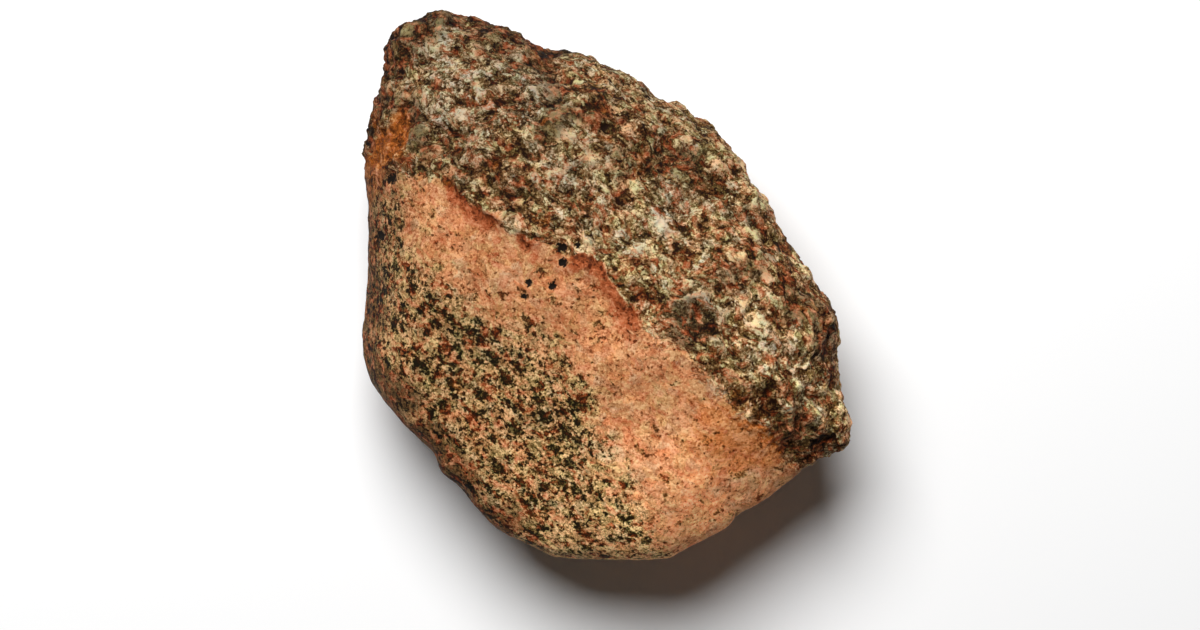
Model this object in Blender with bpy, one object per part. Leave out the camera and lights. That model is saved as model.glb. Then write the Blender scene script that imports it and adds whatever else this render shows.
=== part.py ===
"""A Martian meteorite: one broken and weathered stone, lying on its flattest side.

Metres, +Z up. The origin is under the middle of the stone, on the surface that it rests on. Seen from above, with
+Y up the page, a pale smooth face lies to the lower left and a dark rough face to the upper right. They meet in a
low ridge that runs from the left-hand side, through the highest point, to the lower right.
"""

import math

import bmesh
import bpy
import numpy as np
from mathutils import Vector, noise

MM = 0.001

# Driving sizes
THICKNESS = 152 * MM
HEART = Vector((4, -6, 72)) * MM  # the point inside the stone that its broken faces are measured from
SHARPNESS = 17  # of the edges between broken faces: a higher power wears them less
FLAT_CUT = 1.4 * MM  # how much of the lowest bulge the flat resting patch takes off
BALL_LEVELS = 7  # of the fine ball that the stone is shaped from
TRIANGLES = 9400
PLACES = 360  # around the stone, where the plan outline is set

# The plan outline seen from above, in millimetres, turning left from the right-hand side
OUTLINE_MM = (
    (131, 0), (119, 18), (111, 31), (93, 60), (80, 78), (73, 90), (64, 99), (49, 109), (31, 117), (25, 123),
    (0, 137), (-15, 141), (-38, 146), (-61, 158), (-97, 168), (-109, 166), (-129, 157), (-134, 149),
    (-136, 136), (-137, 123), (-143, 107), (-148, 76), (-145, 44), (-146, 0), (-149, -30), (-145, -56),
    (-126, -82), (-104, -103), (-101, -113), (-88, -124), (-79, -136), (-66, -149), (-50, -157), (-33, -165),
    (-18, -167), (33, -167), (52, -159), (74, -148), (81, -140), (96, -132), (124, -111), (141, -103),
    (148, -97), (149, -86), (144, -50), (143, -26), (139, -13),
)

# The faces that the stone broke along: (azimuth, elevation) of each one's outward normal in degrees, and its
# distance from the heart in millimetres
BROKEN_FACES = {
    "rough top": (49, 71, 74),
    "pale top": (231, 70, 77),
    "crest": (150, 83, 80),
    "nose top": (118, 56, 104),
    "corner top": (322, 58, 108),
    "right shoulder": (18, 44, 112),
    "upper shoulder": (66, 41, 106),
    "left shoulder": (178, 36, 122),
    "lower left shoulder": (219, 34, 136),
    "front lip": (262, 40, 140),
    "right side": (7, 4, 139),
    "upper right side": (32, -6, 112),
    "upper side": (63, 3, 117),
    "nose side": (98, -4, 168),
    "nose end": (144, 2, 184),
    "left side": (175, -2, 148),
    "lower left side": (221, -8, 148),
    "front side": (262, -16, 160),
    "lower right side": (303, -20, 158),
    "resting side": (90, -89.6, 72),
    "under right": (2, -47, 105),
    "under upper right": (52, -38, 105),
    "under nose": (112, -36, 134),
    "under left": (170, -44, 117),
    "under lower left": (226, -50, 115),
    "under front": (278, -41, 126),
    "under corner": (322, -33, 135),
}

# The ridge between the two upper faces, seen from above: y in millimetres at x, as a parabola
RIDGE_START, RIDGE_LEAN, RIDGE_BEND, RIDGE_X = -3.0, -0.7314, -0.001329, -3.0
RIDGE_WANDER = (6.0, 24.0)  # how far the ridge line strays, and over what length, in millimetres
STEP = (1.6, 4.4)  # millimetres that the rough layer stands proud of the pale face: at the ends and the middle
STEP_MIDDLE, STEP_REACH = -34.0, 62.0  # x of the highest part of the step, and how far it goes each way
STEP_WIDTH = 5.5  # millimetres

# Scoops and swellings of the surface: (x, y, z, radius, depth) in millimetres. A swelling has a negative depth
HOLLOWS_MM = {
    "trough under the ridge": (-66, 18, 126, 24, 3.4),
    "trough at the middle": (8, -22, 138, 20, 2.2),
    "stained hollow on the left": (-133, 84, 84, 21, 4.6),
    "hollow behind the nose": (-48, 134, 96, 22, 3.0),
    "saddle of the rough face": (40, 44, 130, 30, 2.6),
    "dip beside the crest": (-72, 92, 122, 24, 2.4),
    "corner hollow": (112, -102, 88, 20, 3.6),
    "right scoop": (140, -30, 62, 22, 3.4),
    "pale bulge": (-52, -70, 112, 46, -3.2),
    "front bulge": (28, -110, 108, 38, -2.6),
    "thumbprint left": (-142, 6, 62, 24, 3.8),
    "thumbprint lower left": (-104, -104, 56, 26, 4.2),
    "thumbprint front": (6, -160, 52, 28, 4.4),
    "thumbprint upper": (36, 108, 66, 27, 4.0),
    "thumbprint upper right": (100, 44, 58, 24, 3.6),
    "thumbprint nose": (-110, 148, 52, 24, 3.8),
    "under scoop left": (-92, -20, 18, 30, 3.6),
    "under scoop right": (90, -60, 20, 28, 3.4),
    "under scoop nose": (-66, 92, 22, 30, 4.0),
}

# Relief all over the stone: (height, length) of each kind in millimetres
SWELLS = (4.2, 74.0)
LUMPS = (3.0, 36.0)
BOULDERS = (5.2, 44.0)  # rounded swellings of the rough layer, with creases between them
KNOBS = (1.6, 19.0)
LEDGES = (2.4, 24.0)  # stepped breaks of the rough layer, running along the ridge
LEDGE_WAY = Vector((0.60, 0.72, 0.35))  # from one ledge down to the next
LEDGE_STRAY = (0.9, 38.0)  # how far a ledge strays, in ledges, and over what length
PITS = (1.8, 27.0)
PIT_REACH = 0.6  # how much of a pit's cell it takes
CALM = (3, 24)  # millimetres above the resting side over which the relief comes up to its full height

STONE_COLOUR = (0.30, 0.20, 0.13, 1.0)
STONE_ROUGHNESS = 0.7


def smooth(low, high, value):
    """0 under low, 1 over high, and an even S between them."""
    share = min(1.0, max(0.0, (value - low) / (high - low)))
    return share * share * (3 - 2 * share)


def direction(azimuth, elevation):
    azimuth, elevation = math.radians(azimuth), math.radians(elevation)
    return (
        math.cos(azimuth) * math.cos(elevation),
        math.sin(azimuth) * math.cos(elevation),
        math.sin(elevation),
    )


def broken_block(ways):
    """The stone as broken: for each unit vector from the heart, the point where it meets the block that the
    broken faces close off, with the edges worn round."""
    normals = np.array([direction(a, e) for a, e, _ in BROKEN_FACES.values()])
    distances = np.array([d for _, _, d in BROKEN_FACES.values()]) * MM
    nearness = np.clip(ways @ normals.T, 0, None) / distances
    reach = (nearness**SHARPNESS).sum(axis=1) ** (-1 / SHARPNESS)
    return np.array(HEART) + ways * reach[:, None]


def outline_reach(azimuths):
    """The plan outline's distance from the origin at each azimuth, along a smooth curve through its points."""
    corners = np.array(OUTLINE_MM, float) * MM
    before, after = np.roll(corners, 1, axis=0), np.roll(corners, -1, axis=0)
    beyond = np.roll(corners, -2, axis=0)
    curve = []
    for t in np.linspace(0, 1, 12, endpoint=False):
        curve.append(
            0.5
            * (
                2 * corners
                + (after - before) * t
                + (2 * before - 5 * corners + 4 * after - beyond) * t**2
                + (3 * corners - before - 3 * after + beyond) * t**3
            )
        )
    curve = np.array(curve).reshape(-1, 2)
    around = np.arctan2(curve[:, 1], curve[:, 0])
    order = np.argsort(around)
    return np.interp(azimuths, around[order], np.hypot(*curve[order].T), period=2 * math.pi)


def ridge_side(point):
    """How far a point lies on the rough side of the ridge line, in millimetres. The pale side is negative."""
    x, y = point.x / MM, point.y / MM
    along = x - RIDGE_X
    line = RIDGE_START + RIDGE_LEAN * along + RIDGE_BEND * along * along
    stray, length = RIDGE_WANDER
    wander = stray * noise.noise(Vector((x, y, 0)) / length)
    return (y - line) / math.hypot(1, RIDGE_LEAN) + wander


def rough_share(point):
    """1 on the rough dark layer and 0 on the smooth pale face, which also wraps over the stone's front."""
    above = smooth(48, 78, point.z / MM)
    under = smooth(-0.15, 0.25, noise.noise(point / MM / 90 + Vector((3.1, 0, 7.7))))
    return above * smooth(-STEP_WIDTH, STEP_WIDTH, ridge_side(point)) + (1 - above) * under


def ledges(here):
    """Stepped breaks: a gentle slope, then a short riser."""
    height, length = LEDGES
    stray, stray_length = LEDGE_STRAY
    level = here.dot(LEDGE_WAY) / length + stray * noise.noise(here / stray_length)
    tread = level - math.floor(level)
    return height * (tread - smooth(0.6, 1.0, tread))


def boulders(here):
    height, length = BOULDERS
    return height * (abs(noise.noise(here / length + Vector((2, 8, 5)))) - 0.2)


def pits(here):
    """Shallow rounded pits, one to a cell, of the kind that the air's heat melts into a falling stone."""
    depth, length = PITS
    nearest = noise.voronoi(here / length)[0][0]
    return -depth * (1 - smooth(0, PIT_REACH, nearest))


def hollows(here):
    total = 0.0
    for x, y, z, radius, depth in HOLLOWS_MM.values():
        apart = (here - Vector((x, y, z))).length / radius
        total -= depth * math.exp(-apart * apart)
    return total


def step(here):
    """How proud of the pale face the rough layer stands: only on the upper side, and most at the ridge's middle."""
    low, high = STEP
    middle = math.exp(-(((here.x - STEP_MIDDLE) / STEP_REACH) ** 4))
    return (low + (high - low) * middle) * smooth(48, 78, here.z)


def relief(point):
    """How far the weathered surface stands out from the broken block at a point, in metres."""
    rough = rough_share(point)
    here = point / MM
    height = SWELLS[0] * noise.noise(here / SWELLS[1])
    height += LUMPS[0] * (0.55 + 0.25 * rough) * noise.noise(here / LUMPS[1] + Vector((5, 5, 5)))
    height += KNOBS[0] * (0.15 + 0.85 * rough) * noise.noise(here / KNOBS[1] + Vector((9, 2, 4)))
    height += rough * (ledges(here) + boulders(here) + pits(here))
    height *= 0.35 + 0.65 * smooth(*CALM, here.z)
    return (height + rough * step(here) + hollows(here)) * MM


def fit_outline(points, blur, hold):
    """Draws the stone out or in until its plan has the outline.

    The blur spreads each place's change over its neighbours, in degrees. With no hold, every level is drawn alike;
    with some, the change is for the stone's widest reaches and fades inwards."""
    azimuths = np.arctan2(points[:, 1], points[:, 0])
    reaches = np.hypot(points[:, 0], points[:, 1])
    spots = np.floor((azimuths + math.pi) / (2 * math.pi) * PLACES).astype(int) % PLACES
    widest = np.zeros(PLACES)
    np.maximum.at(widest, spots, reaches)
    middles = (np.arange(PLACES) + 0.5) * 2 * math.pi / PLACES - math.pi
    drawn = outline_reach(middles) / widest
    if blur:
        turns = np.abs(np.arange(PLACES) - PLACES // 2) * 360 / PLACES / blur
        spread = np.roll(np.exp(-turns * turns), -(PLACES // 2))
        drawn = np.real(np.fft.ifft(np.fft.fft(drawn) * np.fft.fft(spread / spread.sum())))
    factor = np.interp(azimuths, middles, drawn, period=2 * math.pi)
    nearness = np.clip(reaches / np.interp(azimuths, middles, widest, period=2 * math.pi), 0, 1)
    points[:, :2] *= (factor ** (nearness**hold))[:, None]
    return points


def stone_mesh():
    bm = bmesh.new()
    bmesh.ops.create_icosphere(bm, subdivisions=BALL_LEVELS, radius=1)
    bm.verts.ensure_lookup_table()
    ways = np.array([v.co for v in bm.verts])
    ways /= np.linalg.norm(ways, axis=1)[:, None]
    for vert, place in zip(bm.verts, fit_outline(broken_block(ways), 14, 0)):
        vert.co = place
    bm.normal_update()
    weathered = [v.co + v.normal * relief(v.co) for v in bm.verts]
    points = fit_outline(fit_outline(np.array(weathered), 4, 2), 0, 6)
    lowest, highest = points[:, 2].min() + FLAT_CUT, points[:, 2].max()
    points[:, 2] = (points[:, 2] - lowest) * THICKNESS / (highest - lowest)
    for vert, place in zip(bm.verts, points):
        vert.co = place
    mesh = bpy.data.meshes.new("stone")
    bm.to_mesh(mesh)
    bm.free()
    mesh.shade_smooth()
    return mesh


def floor_cutter():
    """A block whose top is the surface that the stone rests on."""
    bpy.ops.mesh.primitive_cube_add(size=1, location=(0, 0, -0.25), scale=(1, 1, 0.5))
    cutter = bpy.context.active_object
    cutter.name = "floor_cutter"
    cutter.hide_render = True
    cutter.display_type = "WIRE"
    return cutter


def stone_material():
    material = bpy.data.materials.new("stone")
    material.use_nodes = True
    shader = material.node_tree.nodes["Principled BSDF"]
    shader.inputs["Base Color"].default_value = STONE_COLOUR
    shader.inputs["Roughness"].default_value = STONE_ROUGHNESS
    shader.inputs["Metallic"].default_value = 0.0
    return material


def build():
    for old in list(bpy.data.objects):
        bpy.data.objects.remove(old)
    mesh = stone_mesh()
    stone = bpy.data.objects.new("meteorite", mesh)
    bpy.context.scene.collection.objects.link(stone)
    mesh.materials.append(stone_material())
    fewer = stone.modifiers.new("fewer triangles", "DECIMATE")
    fewer.ratio = TRIANGLES / len(mesh.polygons)
    flat = stone.modifiers.new("flat resting patch", "BOOLEAN")
    flat.object = floor_cutter()
    flat.operation = "DIFFERENCE"


build()
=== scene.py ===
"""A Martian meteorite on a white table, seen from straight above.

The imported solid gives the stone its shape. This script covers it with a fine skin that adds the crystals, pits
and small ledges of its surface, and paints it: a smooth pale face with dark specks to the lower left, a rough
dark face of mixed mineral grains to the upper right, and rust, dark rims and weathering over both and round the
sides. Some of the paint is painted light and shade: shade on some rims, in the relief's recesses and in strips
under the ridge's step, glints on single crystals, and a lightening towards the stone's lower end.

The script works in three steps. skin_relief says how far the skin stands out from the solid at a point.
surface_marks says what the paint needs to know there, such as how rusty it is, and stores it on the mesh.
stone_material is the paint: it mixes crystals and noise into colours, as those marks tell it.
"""

import math
from collections import namedtuple
from types import SimpleNamespace

import bmesh
import bpy
import numpy as np
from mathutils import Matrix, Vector, noise


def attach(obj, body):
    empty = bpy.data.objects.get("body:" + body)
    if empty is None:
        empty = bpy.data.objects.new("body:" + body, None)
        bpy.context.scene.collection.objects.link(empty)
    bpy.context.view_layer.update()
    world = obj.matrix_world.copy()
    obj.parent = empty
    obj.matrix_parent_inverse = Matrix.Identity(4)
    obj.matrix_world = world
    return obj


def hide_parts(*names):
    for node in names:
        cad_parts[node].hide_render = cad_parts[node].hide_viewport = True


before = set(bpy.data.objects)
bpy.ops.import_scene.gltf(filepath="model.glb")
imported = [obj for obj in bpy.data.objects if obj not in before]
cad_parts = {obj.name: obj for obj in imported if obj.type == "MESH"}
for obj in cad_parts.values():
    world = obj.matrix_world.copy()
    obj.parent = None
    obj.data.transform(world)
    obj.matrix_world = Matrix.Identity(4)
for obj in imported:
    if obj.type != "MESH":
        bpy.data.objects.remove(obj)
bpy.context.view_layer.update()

MM = 0.001

# Blender seeds its vector noise by the clock, so a fixed seed keeps the stone the same in every run
NOISE_SEED = 3
noise.seed_set(NOISE_SEED)

# The skin: the cells that it is built from, its number of triangles, and how often its facets are smoothed
SKIN_VOXEL = 1.25 * MM
SKIN_TRIANGLES = 196_000
FACET_SMOOTHING = 6
WELD_REACH = 0.002 * MM

# The photograph's frame on the plane of the stone's outline
VIEW_WIDTH = 0.733
VIEW_CENTRE = (-0.0027, -0.0183)
OUTLINE_HEIGHT = 0.082
CAMERA_HEIGHT = 2.6
SENSOR_WIDTH = 36

# The wide soft light above the stone's narrow end, and how much light comes from all round
LIGHT_DISTANCE = 3.0
LIGHT_SIZE = 2.0
LIGHT_AZIMUTH, LIGHT_ELEVATION = 108, 58
LIGHT_POWER = 134
AROUND_STRENGTH = 0.035

# The map for baking the paint, in metres on a square sheet: for each side of the stone, the
# way it faces, the ways that run across and up its tile, and where on the sheet the tile's origin lies
MAP_SIDE = 0.66
MAP_TILES = (
    ((0, 0, 1), (1, 0, 0), (0, 1, 0), (0.155, 0.173)),
    ((0, 0, -1), (-1, 0, 0), (0, 1, 0), (0.465, 0.173)),
    ((1, 0, 0), (0, 1, 0), (0, 0, 1), (0.173, 0.348)),
    ((0, 1, 0), (-1, 0, 0), (0, 0, 1), (0.503, 0.348)),
    ((-1, 0, 0), (0, -1, 0), (0, 0, 1), (0.173, 0.504)),
    ((0, -1, 0), (1, 0, 0), (0, 0, 1), (0.503, 0.504)),
)

# The line where the rough layer stops, seen from above: y in millimetres at x, as a parabola, and how it strays:
# (by at most, over a length of)
RIDGE_START, RIDGE_LEAN, RIDGE_BEND, RIDGE_X = -3.0, -0.7314, -0.001329, -3.0
RIDGE_WANDER = (6.0, 24.0)
RIDGE_JAGS = ((3.4, 9.0), (1.6, 3.6))
# Where the layer's edge keeps back from that line or, if the last number is over 0, passes it: (x, y, reach, by)
RIDGE_BAYS = ((-8, 6, 24, -12), (-92, 58, 16, -6), (88, -80, 26, 8))
LAYER_LIP = 0.5  # millimetres that the skin adds to the rough layer's step
# Low on the sides, where there is no ridge, the layer comes and goes in patches of this size, with frayed edges
LOW_PATCHES, LOW_FRAY = 90, 9

# The rough layer's grain runs along the ridge
GRAIN_WAY = Vector((0.77, -0.60, -0.10)).normalized()
GRAIN_STRETCH = 1.5

# The relief of the rough layer in millimetres, what is sunk by so that it stays about level, and that of the
# pale face. The rough layer's is warped first: (by at most, over a length of).
Relief = namedtuple("Relief", "height size")
RELIEF_WARPS = ((5, 16), (1.6, 5))
LARGE_CRYSTALS, SMALL_CRYSTALS, CRYSTALS_SUNK = Relief(0.8, 6.5), Relief(0.5, 3.6), 1.6
LUMPS = Relief(2.9, 14)
LEDGES, LEDGES_SUNK = Relief(2.8, 9), 0.6
PALE_UNEVENNESS = Relief(0.5, 9)

# Heights over the table, in millimetres, between which something goes from none to full
RELIEF_SETS_IN = (0.2, 7)
UPPER_SETS_IN, UPPER_WANDER = (38, 66), (18, 30)
LIP_SETS_IN = (48, 78)
PATCHES_SET_IN = (40, 75)
PITS_ABOVE = 60

# Small black pits: (x, y, radius, depth) in millimetres
BLACK_PITS = (
    (-129, 64, 3.4, 2.2),
    (-136, 30, 3.2, 1.4),
    (-25.5, 22, 2.9, 1.3),
    (-24.5, 13, 2.7, 1.3),
    (-45, 1, 2.4, 1.8),
    (-31, -1, 2.7, 1.8),
    (-16, 23.5, 1.8, 0.9),
    (-48, -7, 1.7, 0.8),
)


def smooth(low, high, value):
    """0 under low, 1 over high, and an even S between them."""
    share = min(1.0, max(0.0, (value - low) / (high - low)))
    return share * share * (3 - 2 * share)


def ridge_side(here):
    """How far a point, in millimetres, lies on the rough side of the ridge line. The pale side is negative."""
    along = here.x - RIDGE_X
    line = RIDGE_START + RIDGE_LEAN * along + RIDGE_BEND * along * along
    flat = Vector((here.x, here.y, 0))
    side = (here.y - line) / math.hypot(1, RIDGE_LEAN)
    side += RIDGE_WANDER[0] * noise.noise(flat / RIDGE_WANDER[1])
    for reach, length in RIDGE_JAGS:
        side += reach * noise.noise(here / length)
    for x, y, reach, by in RIDGE_BAYS:
        apart = math.hypot(here.x - x, here.y - y) / reach
        side += by * math.exp(-apart * apart)
    return side


def upper_share(here):
    """1 on the upper faces and 0 low on the sides, with a wandering line between them."""
    by, length = UPPER_WANDER
    return smooth(*UPPER_SETS_IN, here.z + by * noise.noise(here / length + Vector((5, 2, 9))))


def layer_edge(here):
    """How far a point lies inside the rough layer, in millimetres, from -30 to 30."""
    above = upper_share(here)
    wide = noise.noise(here / LOW_PATCHES + Vector((3.1, 0, 7.7)))
    patchy = LOW_PATCHES * (wide + 0.12 * noise.noise(here / LOW_FRAY) + 0.05)
    inside = above * ridge_side(here) + (1 - above) * patchy
    return max(-30.0, min(30.0, inside))


def streaked(here):
    """A point in a space squeezed along the rough layer's grain, so that what is round there is drawn out here."""
    along = here.dot(GRAIN_WAY)
    return here - GRAIN_WAY * along * (1 - 1 / GRAIN_STRETCH)


def crystals(here, size):
    """Raised grains with sunken seams between them: 0 to 1."""
    near, points = noise.voronoi(here / size)
    raised = 0.5 + 0.5 * noise.cell(points[0] * 37)
    return raised * smooth(0.0, 0.32, near[1] - near[0])


def skin_relief(here):
    """How far the skin stands out from the solid at a point, all in millimetres."""
    rough = smooth(-3, 3, layer_edge(here))
    wide, close = (by * Vector(noise.noise_vector(here / length)) for by, length in RELIEF_WARPS)
    bent = streaked(here + wide) + close
    height = (
        LARGE_CRYSTALS.height * crystals(bent, LARGE_CRYSTALS.size)
        + SMALL_CRYSTALS.height * crystals(bent + Vector((4, 4, 4)), SMALL_CRYSTALS.size)
        - CRYSTALS_SUNK
    )
    height += LUMPS.height * noise.fractal(bent / LUMPS.size, 0.75, 2.1, 4)
    height += LEDGES.height * abs(noise.noise(bent / LEDGES.size + Vector((1, 6, 2)))) - LEDGES_SUNK
    height = rough * (height + LAYER_LIP * smooth(*LIP_SETS_IN, here.z))
    height += (1 - rough) * PALE_UNEVENNESS.height * noise.fractal(here / PALE_UNEVENNESS.size, 0.8, 2.1, 4)
    if here.z > PITS_ABOVE:
        for x, y, radius, depth in BLACK_PITS:
            apart = math.hypot(here.x - x, here.y - y) / radius
            height -= depth * math.exp(-(apart**3))
    return height * smooth(*RELIEF_SETS_IN, here.z)


def skin_mesh(solid):
    """A fine even mesh over the solid, with its facets smoothed away and its surface relief put in."""
    weld = bmesh.new()
    weld.from_mesh(solid.data)
    bmesh.ops.remove_doubles(weld, verts=weld.verts, dist=WELD_REACH)
    mesh = bpy.data.meshes.new("skin")
    weld.to_mesh(mesh)
    weld.free()
    piece = bpy.data.objects.new("meteorite_skin", mesh)
    bpy.context.scene.collection.objects.link(piece)
    soften = piece.modifiers.new("soften", "SUBSURF")
    soften.levels = soften.render_levels = 2
    even = piece.modifiers.new("even", "REMESH")
    even.mode = "VOXEL"
    even.voxel_size = SKIN_VOXEL
    settle = piece.modifiers.new("settle", "SMOOTH")
    settle.factor = 0.5
    settle.iterations = FACET_SMOOTHING
    apply_modifiers(piece)
    places = read(piece.data, "vertices", "co")
    outward = read(piece.data, "vertices", "normal")
    heights = np.array([skin_relief(Vector(place) / MM) for place in places])
    kept = piece.data.attributes.new("outward", "FLOAT_VECTOR", "POINT")
    kept.data.foreach_set("vector", outward.ravel())
    set_mark(piece.data, "relief", heights)
    places += outward * heights[:, None] * MM
    places[:, 2] = np.maximum(places[:, 2], 0)
    piece.data.vertices.foreach_set("co", places.ravel())
    fewer = piece.modifiers.new("fewer triangles", "DECIMATE")
    fewer.ratio = SKIN_TRIANGLES / (2 * len(piece.data.polygons))
    apply_modifiers(piece)
    piece.data.shade_smooth()
    return piece


def apply_modifiers(piece):
    """Replaces the piece's mesh with what its modifiers make of it."""
    bpy.context.view_layer.update()
    shaped = piece.evaluated_get(bpy.context.evaluated_depsgraph_get())
    mesh = bpy.data.meshes.new_from_object(shaped)
    piece.modifiers.clear()
    piece.data = mesh


def read(mesh, what, field):
    """A field of three numbers, such as co, of every vertex or of whatever else is asked for: a row each."""
    items = getattr(mesh, what)
    values = np.zeros(len(items) * 3, np.float32)
    items.foreach_get(field, values)
    return values.reshape(-1, 3).astype(float)


# Where the colours change, seen from above: (x, y, radius) in millimetres and a strength
RUST_PATCHES = (
    (-130, 88, 12, 1.9),
    (-138, 73, 9, 1.7),
    (-143, 57, 7, 0.9),
    (-147, 20, 10, 0.8),
    (-149, -20, 10, 0.5),
    (-92, 57, 6, 1.0),
    (-64, 39, 5, 2.3),
    (-39, 137, 12, 0.35),
    (-34, 102, 5, 0.7),
    (-3, 110, 6, 0.6),
    (5, 86, 5, 0.7),
    (20, 74, 9, 0.6),
    (-73, 113, 8, 0.5),
    (-67, 67, 6, 0.6),
    (-33, 37, 6, 0.7),
    (25, 35, 5, 0.6),
    (128, -18, 14, 0.5),
    (60, -50, 8, 0.5),
    (46, -62, 9, 0.7),
    (62, -80, 13, 1.0),
    (80, -104, 10, 0.8),
    (60, -106, 20, 0.7),
    (86, -90, 16, 1.3),
    (102, -102, 10, 0.8),
    (-85, -64, 9, 0.6),
    (-70, -92, 12, 0.4),
)
# Partly painted shade: some of these darken rims and a corner that turn away from above; the rest are dark
# weathering
DARK_PATCHES = (
    (-107, 161, 13, 1.0),
    (-132, 113, 12, 0.8),
    (-64, 151, 12, 0.7),
    (-39, 137, 14, 0.8),
    (-27, 113, 11, 0.6),
    (-6, 108, 9, 0.7),
    (9, 76, 13, 0.8),
    (31, 73, 8, 0.9),
    (58, 74, 14, 0.5),
    (52, -15, 19, 0.9),
    (52, -28, 11, 0.7),
    (70, -55, 12, 0.6),
    (112, -86, 16, 0.8),
    (128, -15, 12, 0.9),
    (132, -34, 10, 0.9),
    (126, -92, 16, 0.8),
    (-107, 82, 15, 0.6),
    (-82, 73, 12, 0.5),
    (-52, 49, 10, 0.6),
    (-146, -21, 10, 0.8),
    (-142, -52, 12, 1.0),
    (-127, -66, 13, 1.3),
    (-107, -98, 12, 2.2),
    (-88, -119, 12, 2.2),
    (-66, -146, 12, 1.5),
    (-33, 98, 10, 0.9),
    (-94, 159, 9, 0.7),
    (86, 43, 10, 0.8),
    (89, 9, 10, 0.7),
    (77, 4, 10, 0.6),
    (-120, 140, 14, 0.9),
    (-125, 100, 10, 0.5),
    (120, -14, 12, 0.9),
    (54, 80, 9, 0.7),
    (-18, 101, 9, 0.7),
    (-33, 124, 8, 0.6),
    (-27, 93, 9, 0.8),
    (46, 62, 10, 0.6),
    (-113, 94, 11, 1.2),
    (-95, -106, 12, 1.2),
)
GREY_PATCHES = (
    (-82, 107, 28, 1.0),
    (-100, 147, 15, 0.9),
    (-58, 125, 18, 0.8),
    (-36, 116, 14, 0.8),
    (-27, 64, 20, 0.8),
    (37, 43, 20, 0.8),
    (52, -15, 18, 0.9),
    (95, -34, 15, 0.6),
    (119, -58, 16, 0.6),
)
CREAM_PATCHES = (
    (-82, 107, 26, 0.6),
    (-44, 92, 18, 0.4),
    (14, 22, 20, 0.4),
    (-18, 76, 15, 1.1),
    (37, 43, 16, 0.5),
    (86, -21, 18, 0.7),
    (101, -40, 15, 0.5),
    (9, 122, 10, 1.1),
    (52, 98, 14, 0.5),
    (-18, 27, 10, 0.9),
    (43, 0, 7, 0.9),
    (-100, 137, 15, 0.3),
    (125, -70, 14, 0.6),
    (-82, 97, 14, 0.3),
    (-66, 129, 12, 0.9),
    (-3, 46, 16, 0.6),
    (43, 15, 12, 0.6),
    (34, 107, 14, 0.3),
    (80, 76, 14, 1.0),
    (107, 34, 12, 0.7),
    (52, 22, 12, 0.7),
    (95, 56, 10, 0.8),
)
DENSE_SPECKS = (
    (-106, 60, 9, 1.5),
    (-126, 42, 14, 1.1),
    (-122, 12, 14, 1.0),
    (-125, -15, 22, 0.4),
    (-94, -34, 28, 0.5),
    (-64, -70, 34, 0.8),
    (-27, -82, 22, 0.8),
    (-9, -70, 13, 0.6),
    (-3, -24, 7, 3.0),
    (-12, -8, 6, 1.6),
    (-76, -131, 24, 0.8),
    (-27, -131, 22, 0.4),
    (28, -101, 10, 0.3),
    (8, -38, 5, 1.4),
    (22, -30, 9, 0.8),
    (-40, -2, 7, 0.8),
)
# The way that the rims face which are darkened with painted shade
DARK_SIDE = Vector((-1, 0.1, 0))
# Painted light and shade: the way towards which the stone is painted lighter and away from which darker, over this
# many millimetres from its middle, and where that is stronger; a strength under 0 makes it darker there
PAINTED_LIGHT_WAY = Vector((0.14, -0.99, 0))
PAINTED_LIGHT_REACH = 160
PAINTED_LIGHT_PATCHES = (
    (60, -112, 26, 0.9),
    (58, -138, 16, 1.5),
    (14, -147, 18, 1.8),
    (-30, -150, 16, 0.5),
    (0, -124, 16, 0.25),
    (-42, -100, 22, 0.25),
    (-95, 32, 22, 0.2),
    (36, -62, 22, -0.5),
    (-52, -2, 30, -0.28),
)
# Painted shadow: dark red strips just under the ridge's step, on its pale side: (first x, last x, width) in
# millimetres
STEP_SHADOW_STRIPS = ((-98, -60, 13), (-56, -35, 11), (-25, 24, 16))
# The line where the clean pink part of the pale face ends and its speckled part begins, in millimetres
CLEAN_LINE = (
    (-128, 110), (-120, 60), (-113, 34), (-92, 8), (-60, -16),
    (-34, -26), (-14, -50), (1, -80), (21, -116), (44, -170),
)


def patches(here, places):
    """How strongly a point is in any of the named places, which show on the upper side."""
    total = 0.0
    for x, y, radius, strength in places:
        apart = math.hypot(here.x - x, here.y - y) / radius
        total += strength * math.exp(-apart * apart)
    return total * smooth(*PATCHES_SET_IN, here.z)


def clean_side(here):
    """How far a point lies on the clean side of the line that the specks stop at, in millimetres."""
    nearest, side = 1000.0, 0.0
    for (x0, y0), (x1, y1) in zip(CLEAN_LINE, CLEAN_LINE[1:]):
        run = Vector((x1 - x0, y1 - y0))
        off = Vector((here.x - x0, here.y - y0))
        along = min(1.0, max(0.0, off.dot(run) / run.length_squared))
        apart = (off - run * along).length
        if apart < nearest:
            nearest = apart
            side = math.copysign(apart, run.cross(off))
    return side


def step_shadow(here):
    """The strips of pale face just under the step, painted dark red as the step's shadow."""
    side = -layer_edge(here)
    found = 0.0
    for first, last, width in STEP_SHADOW_STRIPS:
        along = smooth(first, first + 8, here.x) * (1 - smooth(last - 8, last, here.x))
        fade = 1 - smooth(0.1 * width, width, side)
        found = max(found, along * smooth(-2, 0.5, side) * fade)
    return found * upper_share(here)


def pit_share(here):
    """1 in the middle of a small black pit, a half at its edge, and less outside."""
    if here.z < PITS_ABOVE:
        return 0.0
    nearest = min(math.hypot(here.x - x, here.y - y) / radius for x, y, radius, _ in BLACK_PITS)
    return max(0.0, 1 - nearest / 2)


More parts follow.
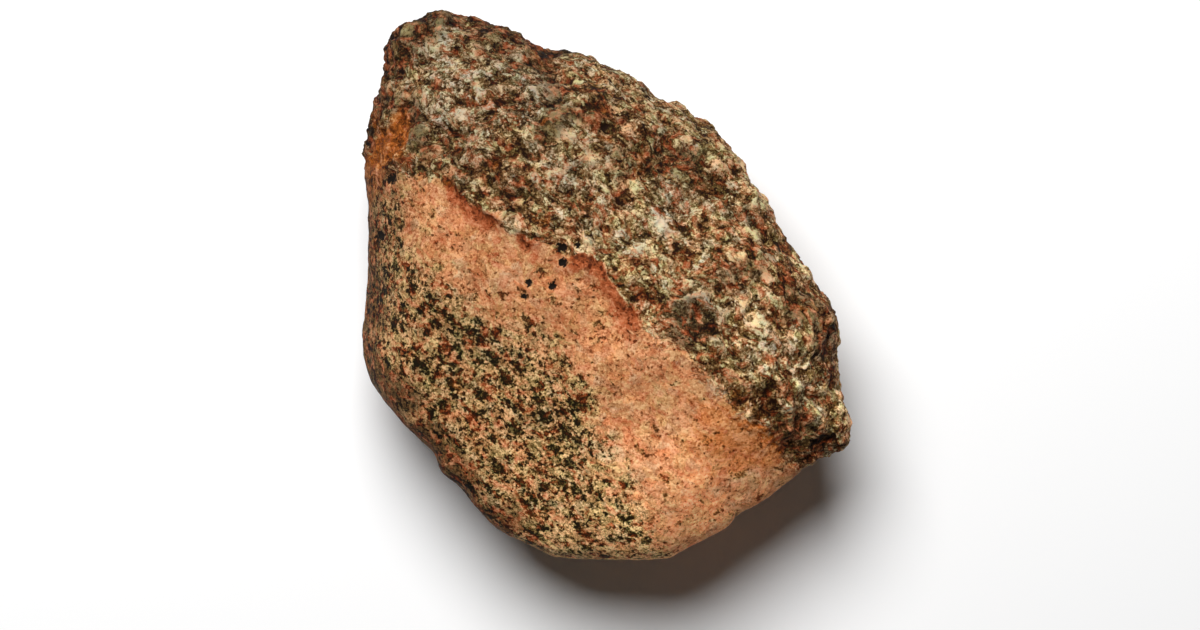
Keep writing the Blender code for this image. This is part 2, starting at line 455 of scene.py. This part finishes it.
def surface_marks(here, facing_up, raised):
    """What the paint needs to know at a point: its shares of each kind of surface."""
    bent = here + 11 * Vector(noise.noise_vector(here / 22))
    side = layer_edge(here)
    drift = noise.noise(here / 22)
    clean = smooth(-20, 14, clean_side(bent)) * upper_share(here)
    rusting = (1 - smooth(20, 84, here.z)) * noise.noise(here / 34 + Vector((7, 0, 0)))
    # Painted shade: the rims that turn away from above, on the left side, are darkened
    rim_shade = (1 - smooth(0.1, 0.75, facing_up + 0.25 * drift)) * smooth(0, 90, here.dot(DARK_SIDE))
    # Painted light and shade: lighter towards the stone's lower end, darker towards its upper end
    painted_light = here.dot(PAINTED_LIGHT_WAY) / PAINTED_LIGHT_REACH
    return {
        "inside": side,
        "mixed": smooth(-10, 60, here.x),
        "specks": 0.8 * (1 - clean) + 0.4 * patches(bent, DENSE_SPECKS),
        "rust": patches(bent, RUST_PATCHES) + 0.35 * rusting,
        "dark": patches(bent, DARK_PATCHES) + 1.45 * rim_shade,
        "grey": patches(bent, GREY_PATCHES),
        "cream": patches(bent, CREAM_PATCHES),
        "clean": clean,
        "pit": pit_share(here),
        "step_shadow": step_shadow(here),
        # Painted shade: the relief's height, which makes the paint darker in its recesses
        "raised": raised,
        "painted_light": max(-0.7, painted_light) + patches(here, PAINTED_LIGHT_PATCHES),
    }


def mark_surface(mesh):
    """Stores what surface_marks says of each vertex on the mesh, for the paint to read."""
    places = read(mesh, "vertices", "co") / MM
    facing_up = outward_of(mesh)[:, 2]
    relief = np.zeros(len(places), np.float32)
    mesh.attributes["relief"].data.foreach_get("value", relief)
    seen = zip(places, facing_up, relief)
    marks = [surface_marks(Vector(place), up, raised) for place, up, raised in seen]
    for name in marks[0]:
        set_mark(mesh, name, [mark[name] for mark in marks])


def outward_of(mesh):
    """Each vertex's way out of the stone, as it was before the relief was put in."""
    ways = np.zeros(len(mesh.vertices) * 3, np.float32)
    mesh.attributes["outward"].data.foreach_get("vector", ways)
    return ways.reshape(-1, 3)


def set_mark(mesh, name, values):
    """Stores one number for each vertex under a name."""
    made = mesh.attributes.new(name, "FLOAT", "POINT")
    made.data.foreach_set("value", np.array(values, np.float32))


def lay_map(mesh):
    """The map for baking the paint, with each side of the stone in a tile of its own, at one scale.
    Where a face lies counts more than the way it faces, so that no steep bump leaves its side's tile."""
    toward, across, up, origin = (np.array(part, float) for part in zip(*MAP_TILES))
    places = read(mesh, "vertices", "co")
    low, high = places.min(0), places.max(0)
    facing = outward_of(mesh) + 2 * (2 * places - low - high) / (high - low)
    corners, starts = np.zeros(len(mesh.loops), np.int32), np.zeros(len(mesh.polygons), np.int32)
    mesh.loops.foreach_get("vertex_index", corners)
    mesh.polygons.foreach_get("loop_start", starts)
    tile = (np.add.reduceat(facing[corners], starts) @ toward.T).argmax(1)
    tile = np.repeat(tile, np.diff(starts, append=len(corners)))
    spots = [(places[corners] * way[tile]).sum(1) for way in (across, up)]
    spots = (np.stack(spots, 1) + origin[tile]) / MAP_SIDE
    mesh.uv_layers.new(name="OFBake").uv.foreach_set("vector", spots.astype(np.float32).ravel())


def paint(red, green, blue):
    """A colour as the screen shows it, 0 to 255, for a shader."""
    shades = [((value / 255 + 0.055) / 1.055) ** 2.4 for value in (red, green, blue)]
    return (*shades, 1.0)


class Shading:
    """A short way to write a node tree: each method adds one node and gives its output."""

    def __init__(self, material):
        material.use_nodes = True
        self.tree = material.node_tree
        self.surface = self.tree.nodes["Principled BSDF"]

    def add(self, kind, inputs, output=0, **settings):
        made = self.tree.nodes.new(kind)
        for name, value in settings.items():
            setattr(made, name, value)
        for name, value in inputs.items():
            self.put(made.inputs[name], value)
        return made.outputs[output]

    def put(self, socket, value):
        if isinstance(value, bpy.types.NodeSocket):
            self.tree.links.new(value, socket)
        else:
            socket.default_value = value

    def place(self):
        return self.add("ShaderNodeTexCoord", {}, "Object")

    def mark(self, name):
        return self.add("ShaderNodeAttribute", {}, "Fac", attribute_name=name)

    def math(self, operation, one, two=0.0, three=0.0):
        return self.add("ShaderNodeMath", {0: one, 1: two, 2: three}, operation=operation)

    def vector(self, operation, one, two, output=0):
        return self.add("ShaderNodeVectorMath", {0: one, 1: two}, output, operation=operation)

    def scaled(self, vector, by):
        return self.add("ShaderNodeVectorMath", {0: vector, "Scale": by}, operation="SCALE")

    def blend(self, share, one, two, kind="MIX"):
        """Goes from one colour to the other as the share goes from 0 to 1. Sockets 6 and 7 take the colours."""
        inputs = {0: share, 6: one, 7: two}
        return self.add("ShaderNodeMix", inputs, 2, data_type="RGBA", blend_type=kind, clamp_factor=True)

    def noise(self, where, size, detail=3.0, roughness=0.55, warp=0.0, output="Fac"):
        inputs = {
            "Vector": where,
            "Scale": 1 / (size * MM),
            "Detail": detail,
            "Roughness": roughness,
            "Distortion": warp,
        }
        return self.add("ShaderNodeTexNoise", inputs, output)

    def crystals(self, where, size):
        """Two numbers, each the same all over a crystal and another in the next: its lightness and its tint."""
        cells = self.add("ShaderNodeTexVoronoi", {"Vector": where, "Scale": 1 / (size * MM)}, "Color")
        parts = self.add("ShaderNodeSeparateColor", {0: cells}, "Red").node
        return parts.outputs["Red"], parts.outputs["Green"]

    def spots(self, where, size, ragged, density):
        """Separate round spots, one to a cell, each of its own width and drawn ragged: over 0 inside a spot."""
        inputs = {"Vector": where, "Scale": 1 / (size * MM)}
        apart = self.add("ShaderNodeTexVoronoi", inputs, "Distance")
        parts = self.add("ShaderNodeSeparateColor", {0: apart.node.outputs["Color"]}, "Red")
        return self.total((parts, 0.42), (density, 0.24), (ragged, 1.1), (apart, -1.0), start=-0.95)

    def total(self, *shares, start=0.0):
        """Several values added up, each at its own weight."""
        for value, weight in shares:
            start = self.math("MULTIPLY_ADD", value, weight, start)
        return start

    def between(self, value, low, high):
        """0 where a value is under low and 1 where it is over high."""
        inputs = {"Value": value, "From Min": low, "From Max": high}
        return self.add("ShaderNodeMapRange", inputs, interpolation_type="SMOOTHSTEP")

    def steps(self, value, stops):
        """One flat colour after another, where shades runs them together."""
        return self.shades(value, stops, "CONSTANT")

    def shades(self, value, stops, interpolation="LINEAR"):
        """The colour that the stops, each a place and a colour, have at this value."""
        made = self.tree.nodes.new("ShaderNodeValToRGB")
        ramp = made.color_ramp
        ramp.interpolation = interpolation
        while len(ramp.elements) < len(stops):
            ramp.elements.new(0.5)
        for element, (place, colour) in zip(ramp.elements, stops):
            element.position = place
            element.color = colour
        self.put(made.inputs[0], value)
        return made.outputs[0]

    def along_grain(self, where):
        """A place in the space that draws patterns out along the rough layer's grain."""
        along = self.vector("DOT_PRODUCT", where, GRAIN_WAY, output="Value")
        excess = self.math("MULTIPLY", along, 1 - 1 / GRAIN_STRETCH)
        return self.vector("SUBTRACT", where, self.scaled(GRAIN_WAY, excess))

    def moved(self, where, by, amount):
        """A place pushed about by a coloured noise, at most half the amount each way, in millimetres."""
        centred = self.vector("SUBTRACT", by, (0.5, 0.5, 0.5))
        return self.vector("ADD", where, self.scaled(centred, amount * MM))


# The colours of each kind of surface, from its deepest seams to its brightest grains
ROUGH_SHADES = (
    (0.05, paint(36, 15, 2)),
    (0.20, paint(58, 35, 8)),
    (0.35, paint(90, 65, 34)),
    (0.50, paint(123, 96, 65)),
    (0.65, paint(159, 133, 102)),
    (0.80, paint(199, 173, 143)),
    (0.95, paint(246, 223, 196)),
)
SPECKLED_SHADES = (
    (0.05, paint(28, 17, 4)),
    (0.20, paint(58, 42, 15)),
    (0.35, paint(102, 79, 45)),
    (0.50, paint(138, 109, 72)),
    (0.65, paint(170, 135, 95)),
    (0.80, paint(200, 160, 118)),
    (0.95, paint(232, 192, 148)),
)
PINK_SHADES = (
    (0.05, paint(80, 42, 16)),
    (0.20, paint(126, 78, 45)),
    (0.35, paint(156, 101, 66)),
    (0.50, paint(177, 121, 84)),
    (0.65, paint(193, 137, 98)),
    (0.80, paint(208, 152, 112)),
    (0.95, paint(230, 178, 138)),
)
# Tints of single grains over those colours, which they multiply
GRAIN_TINTS = (
    (0.00, paint(255, 238, 226)),
    (0.14, paint(244, 252, 232)),
    (0.30, paint(255, 248, 240)),
    (0.46, paint(255, 244, 222)),
    (0.60, paint(238, 246, 250)),
    (0.74, paint(244, 250, 226)),
    (0.88, paint(255, 222, 202)),
)
ZONE_TINTS = (
    (0.28, paint(255, 232, 208)),
    (0.38, paint(240, 250, 220)),
    (0.46, paint(255, 250, 236)),
    (0.52, paint(236, 248, 240)),
    (0.60, paint(255, 236, 216)),
    (0.68, paint(238, 250, 214)),
)
GREY_TINTS = (
    (0.00, paint(236, 244, 252)),
    (0.30, paint(228, 240, 255)),
    (0.60, paint(246, 244, 244)),
    (0.85, paint(232, 246, 246)),
)
# The strips' red: painted shadow under the ridge's step, and flecks all over the stone
STRIP_SHADES = (
    (0.00, paint(70, 22, 0)),
    (0.30, paint(132, 56, 20)),
    (0.60, paint(174, 90, 52)),
    (1.00, paint(214, 150, 110)),
)
RUST_SHADES = (
    (0.00, paint(50, 26, 4)),
    (0.35, paint(112, 58, 14)),
    (0.70, paint(186, 98, 30)),
    (1.00, paint(218, 144, 82)),
)


# The sizes of the crystals in the paint, in millimetres, which are finer than those of the relief
LARGE, MIDDLE, SMALL = 5.8, 2.8, 1.4


def mineral_patterns(s):
    """What both faces of the stone are made of: places pushed about in several ways, crystals and noise."""
    g = SimpleNamespace(where=s.place())
    g.bent = s.moved(g.where, s.noise(g.where, 16, 2, output="Color"), 16)
    g.grainwise = s.along_grain(g.bent)
    g.wobble = s.moved(g.grainwise, s.noise(g.where, 2.4, 3, output="Color"), 1.9)
    g.fine_wobble = s.moved(g.where, s.noise(g.where, 0.9, 2, output="Color"), 0.9)
    g.large, g.large_tint = s.crystals(g.wobble, LARGE)
    g.middle, g.middle_tint = s.crystals(g.wobble, MIDDLE)
    g.small, g.glint = s.crystals(g.fine_wobble, SMALL)
    g.grit = s.noise(g.where, 0.9, 2, 0.7)
    g.fine = s.noise(g.fine_wobble, 2.2, 4, 0.66)
    g.soft = s.noise(g.bent, 12, 6, 0.72, 0.5)

    # Tints: of single crystals, greyer where the marks say so, and of the zones that a mineral is common in
    grey_share = s.math("MULTIPLY_ADD", s.noise(g.grainwise, 12, 4, 0.65), 1.8, -0.95)
    grey_share = s.between(s.math("ADD", s.mark("grey"), grey_share), 0.0, 0.8)
    g.tints = s.blend(grey_share, s.steps(g.large_tint, GRAIN_TINTS), s.steps(g.large_tint, GREY_TINTS))
    g.fine_tints = s.steps(g.middle_tint, GRAIN_TINTS)
    zones = s.moved(g.grainwise, s.noise(g.where, 4, 3, output="Color"), 5)
    g.zone_tints = s.shades(s.noise(zones, 9, 3, 0.6), ZONE_TINTS)
    return g


def rough_face(s, g):
    """The tone, from the deepest seam at 0 to the brightest grain at 1, and the colour of the rough face."""
    broken = s.between(s.noise(g.wobble, 7, 6, 0.76), 0.24, 0.76)
    region = s.between(s.noise(g.grainwise, 22, 3, 0.6), 0.25, 0.75)
    gap = s.between(s.noise(g.grainwise, 4.6, 4, 0.7), 0.46, 0.36)
    # Painted highlights: single small crystals are made lighter as glints
    glinting = s.between(g.glint, 0.86, 0.92)
    # Painted shade and light: through the raised mark the tone is darker in the relief's recesses and lighter on
    # its raised parts
    tone = s.total(
        (g.large, 0.42), (g.middle, 0.45), (g.small, 0.46), (g.grit, 1.15), (broken, 0.55), (region, 0.26),
        (gap, -0.32), (s.mark("cream"), 0.22), (s.mark("raised"), 0.10), (glinting, 0.18), start=-1.07,
    )
    colour = s.blend(0.9, s.shades(tone, ROUGH_SHADES), g.tints, "MULTIPLY")
    colour = s.blend(0.5, colour, g.fine_tints, "MULTIPLY")
    return tone, s.blend(0.8, colour, g.zone_tints, "MULTIPLY")


def pale_face(s, g):
    """The tone and the colour of the pale face: clean and salmon pink near the ridge, speckled and tan away."""
    cluster = s.noise(g.where, 13, 3, 0.6)
    density = s.total((cluster, 3.0), (s.mark("specks"), 1.2), start=-0.48)
    flecks = s.between(s.total((g.fine, 1.0), (density, 0.045), start=-0.035), 0.57, 0.60)
    large_spots = s.spots(g.wobble, 7.2, g.fine, density)
    small_spots = s.spots(g.fine_wobble, 3.8, g.fine, density)
    spots = s.between(s.math("MAXIMUM", large_spots, small_spots), 0.0, 0.06)
    halo = s.between(large_spots, -0.16, 0.0)
    clean = s.mark("clean")
    sand = s.math("MULTIPLY", g.grit, s.math("MULTIPLY_ADD", clean, -0.40, 1.15))
    tone = s.total(
        (g.soft, 0.8), (sand, 1.0), (g.small, 0.38), (g.middle, 0.26), (g.large, 0.14), (flecks, -0.34),
        (halo, -0.13), (spots, -0.44), (clean, 0.23), start=-0.67,
    )
    pink = s.between(s.total((s.noise(g.wobble, 9, 4, 0.7), 2.6), (clean, 1.0), start=-1.75), -0.3, 0.4)
    colour = s.blend(pink, s.shades(tone, SPECKLED_SHADES), s.shades(tone, PINK_SHADES))
    colour = s.blend(0.6, colour, g.tints, "MULTIPLY")
    colour = s.blend(0.5, colour, g.zone_tints, "MULTIPLY")
    colour = s.blend(halo, colour, paint(230, 250, 244), "MULTIPLY")
    blush = s.math("MULTIPLY", s.between(s.noise(g.bent, 10, 4, 0.68), 0.44, 0.62), clean)
    return tone, s.blend(blush, colour, paint(255, 236, 226), "MULTIPLY")


def weathered(s, g, colour, tone, rough_share, fray):
    """The colour with what lies over both faces: dark weathering with painted shade on some rims, rust, the strips
    under the step, which are painted shadow in dark red, a painted lightening towards the lower end and darkening
    towards the upper end, and the small black pits. Flecks of the strips' red are found all over the stone."""
    # Dark weathering, together with painted shade on the rims and on some dark patches
    shade = s.total((s.noise(g.wobble, 6, 4, 0.7), 1.4), (s.mark("dark"), 1.0), start=-0.7)
    shade = s.math("MULTIPLY", s.between(shade, 0.0, 1.1), 0.85)
    colour = s.blend(shade, colour, paint(114, 99, 74), "MULTIPLY")

    stain = s.total((s.noise(g.wobble, 8, 5, 0.7), 2.2), (s.mark("rust"), 1.0), start=-1.54)
    hold = s.math("MULTIPLY_ADD", rough_share, 0.4, 0.5)
    stain = s.math("MULTIPLY", s.between(stain, -0.1, 0.6), hold)
    rust_tone = s.math("MULTIPLY_ADD", tone, 0.75, 0.23)
    colour = s.blend(stain, colour, s.shades(rust_tone, RUST_SHADES))

    # Painted shadow under the ridge's step, in dark red; the fray spreads flecks of the same red over the stone
    step_shadow = s.mark("step_shadow")
    strip = s.between(s.math("MULTIPLY_ADD", fray, 3.4, step_shadow), -0.09, 0.62)
    strip_tone = s.total((tone, 0.7), (fray, 1.2), (g.soft, 1.1), (step_shadow, -0.30), start=-0.42)
    colour = s.blend(s.math("MULTIPLY", strip, 0.92), colour, s.shades(strip_tone, STRIP_SHADES))

    # Painted light and shade: the colour is scaled lighter towards the lower end and darker towards the upper end
    colour = s.scaled(colour, s.math("MULTIPLY_ADD", s.mark("painted_light"), 0.42, 1.0))
    pit = s.total((g.fine, 1.5), (s.mark("pit"), 1.0), start=-0.75)
    return s.blend(s.between(pit, 0.44, 0.54), colour, paint(20, 13, 7))


def stone_material():
    material = bpy.data.materials.new("weathered_stone")
    s = Shading(material)
    g = mineral_patterns(s)
    rough_tone, rough_colour = rough_face(s, g)
    pale_tone, pale_colour = pale_face(s, g)

    # The rough layer's ragged edge, which towards the lower right frays out over the pale face
    fray = s.math("SUBTRACT", s.noise(g.wobble, 5.5, 5, 0.72), 0.5)
    reach = s.math("MULTIPLY_ADD", s.mark("mixed"), 50, 14)
    rough_share = s.between(s.math("MULTIPLY_ADD", fray, reach, s.mark("inside")), -0.6, 0.8)
    colour = s.blend(rough_share, pale_colour, rough_colour)
    tone = s.math("MULTIPLY_ADD", s.math("SUBTRACT", rough_tone, pale_tone), rough_share, pale_tone)
    s.put(s.surface.inputs["Base Color"], weathered(s, g, colour, tone, rough_share, fray))

    roughness = ((0.0, (0.7, 0.7, 0.7, 1)), (1.0, (0.9, 0.9, 0.9, 1)))
    s.put(s.surface.inputs["Roughness"], s.shades(rough_tone, roughness))
    s.surface.inputs["Specular IOR Level"].default_value = 0.1
    height = s.math("MULTIPLY_ADD", g.grit, 0.5, s.math("MULTIPLY", rough_tone, rough_share))
    bump = s.add("ShaderNodeBump", {"Height": height, "Strength": 0.8, "Distance": 0.6 * MM})
    s.put(s.surface.inputs["Normal"], bump)
    return material


def dress_stone():
    """Puts the painted skin in the place of the solid."""
    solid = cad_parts["meteorite"]
    skin = skin_mesh(solid)
    mark_surface(skin.data)
    lay_map(skin.data)
    skin.data.materials.clear()
    skin.data.materials.append(stone_material())
    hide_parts("meteorite")
    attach(skin, "root")


def lay_floor():
    bpy.ops.mesh.primitive_plane_add(size=12)
    floor = bpy.context.active_object
    floor.name = "table_top"
    material = bpy.data.materials.new("white_paper")
    material.use_nodes = True
    surface = material.node_tree.nodes["Principled BSDF"]
    surface.inputs["Base Color"].default_value = (0.9, 0.9, 0.9, 1)
    surface.inputs["Roughness"].default_value = 0.9
    floor.data.materials.append(material)


def direction(azimuth, elevation):
    """The way towards a point at these angles, in degrees."""
    azimuth, elevation = math.radians(azimuth), math.radians(elevation)
    flat = math.cos(elevation)
    return Vector((flat * math.cos(azimuth), flat * math.sin(azimuth), math.sin(elevation)))


def light_scene():
    light = bpy.data.lights.new("soft_box", "AREA")
    light.shape = "DISK"
    light.size = LIGHT_SIZE
    light.energy = LIGHT_POWER
    lamp = bpy.data.objects.new("soft_box", light)
    towards = direction(LIGHT_AZIMUTH, LIGHT_ELEVATION)
    lamp.location = towards * LIGHT_DISTANCE
    lamp.rotation_euler = towards.to_track_quat("Z", "Y").to_euler()
    bpy.context.scene.collection.objects.link(lamp)
    world = bpy.data.worlds.new("studio")
    world.use_nodes = True
    world.node_tree.nodes["Background"].inputs["Color"].default_value = (1, 1, 1, 1)
    world.node_tree.nodes["Background"].inputs["Strength"].default_value = AROUND_STRENGTH
    bpy.context.scene.world = world
    bpy.context.scene.view_settings.view_transform = "Standard"


def set_camera():
    camera = bpy.data.objects.new("camera", bpy.data.cameras.new("camera"))
    camera.data.sensor_width = SENSOR_WIDTH
    camera.data.lens = SENSOR_WIDTH * CAMERA_HEIGHT / VIEW_WIDTH
    camera.location = (*VIEW_CENTRE, OUTLINE_HEIGHT + CAMERA_HEIGHT)
    bpy.context.scene.collection.objects.link(camera)
    bpy.context.scene.camera = camera


dress_stone()
lay_floor()
light_scene()
set_camera()
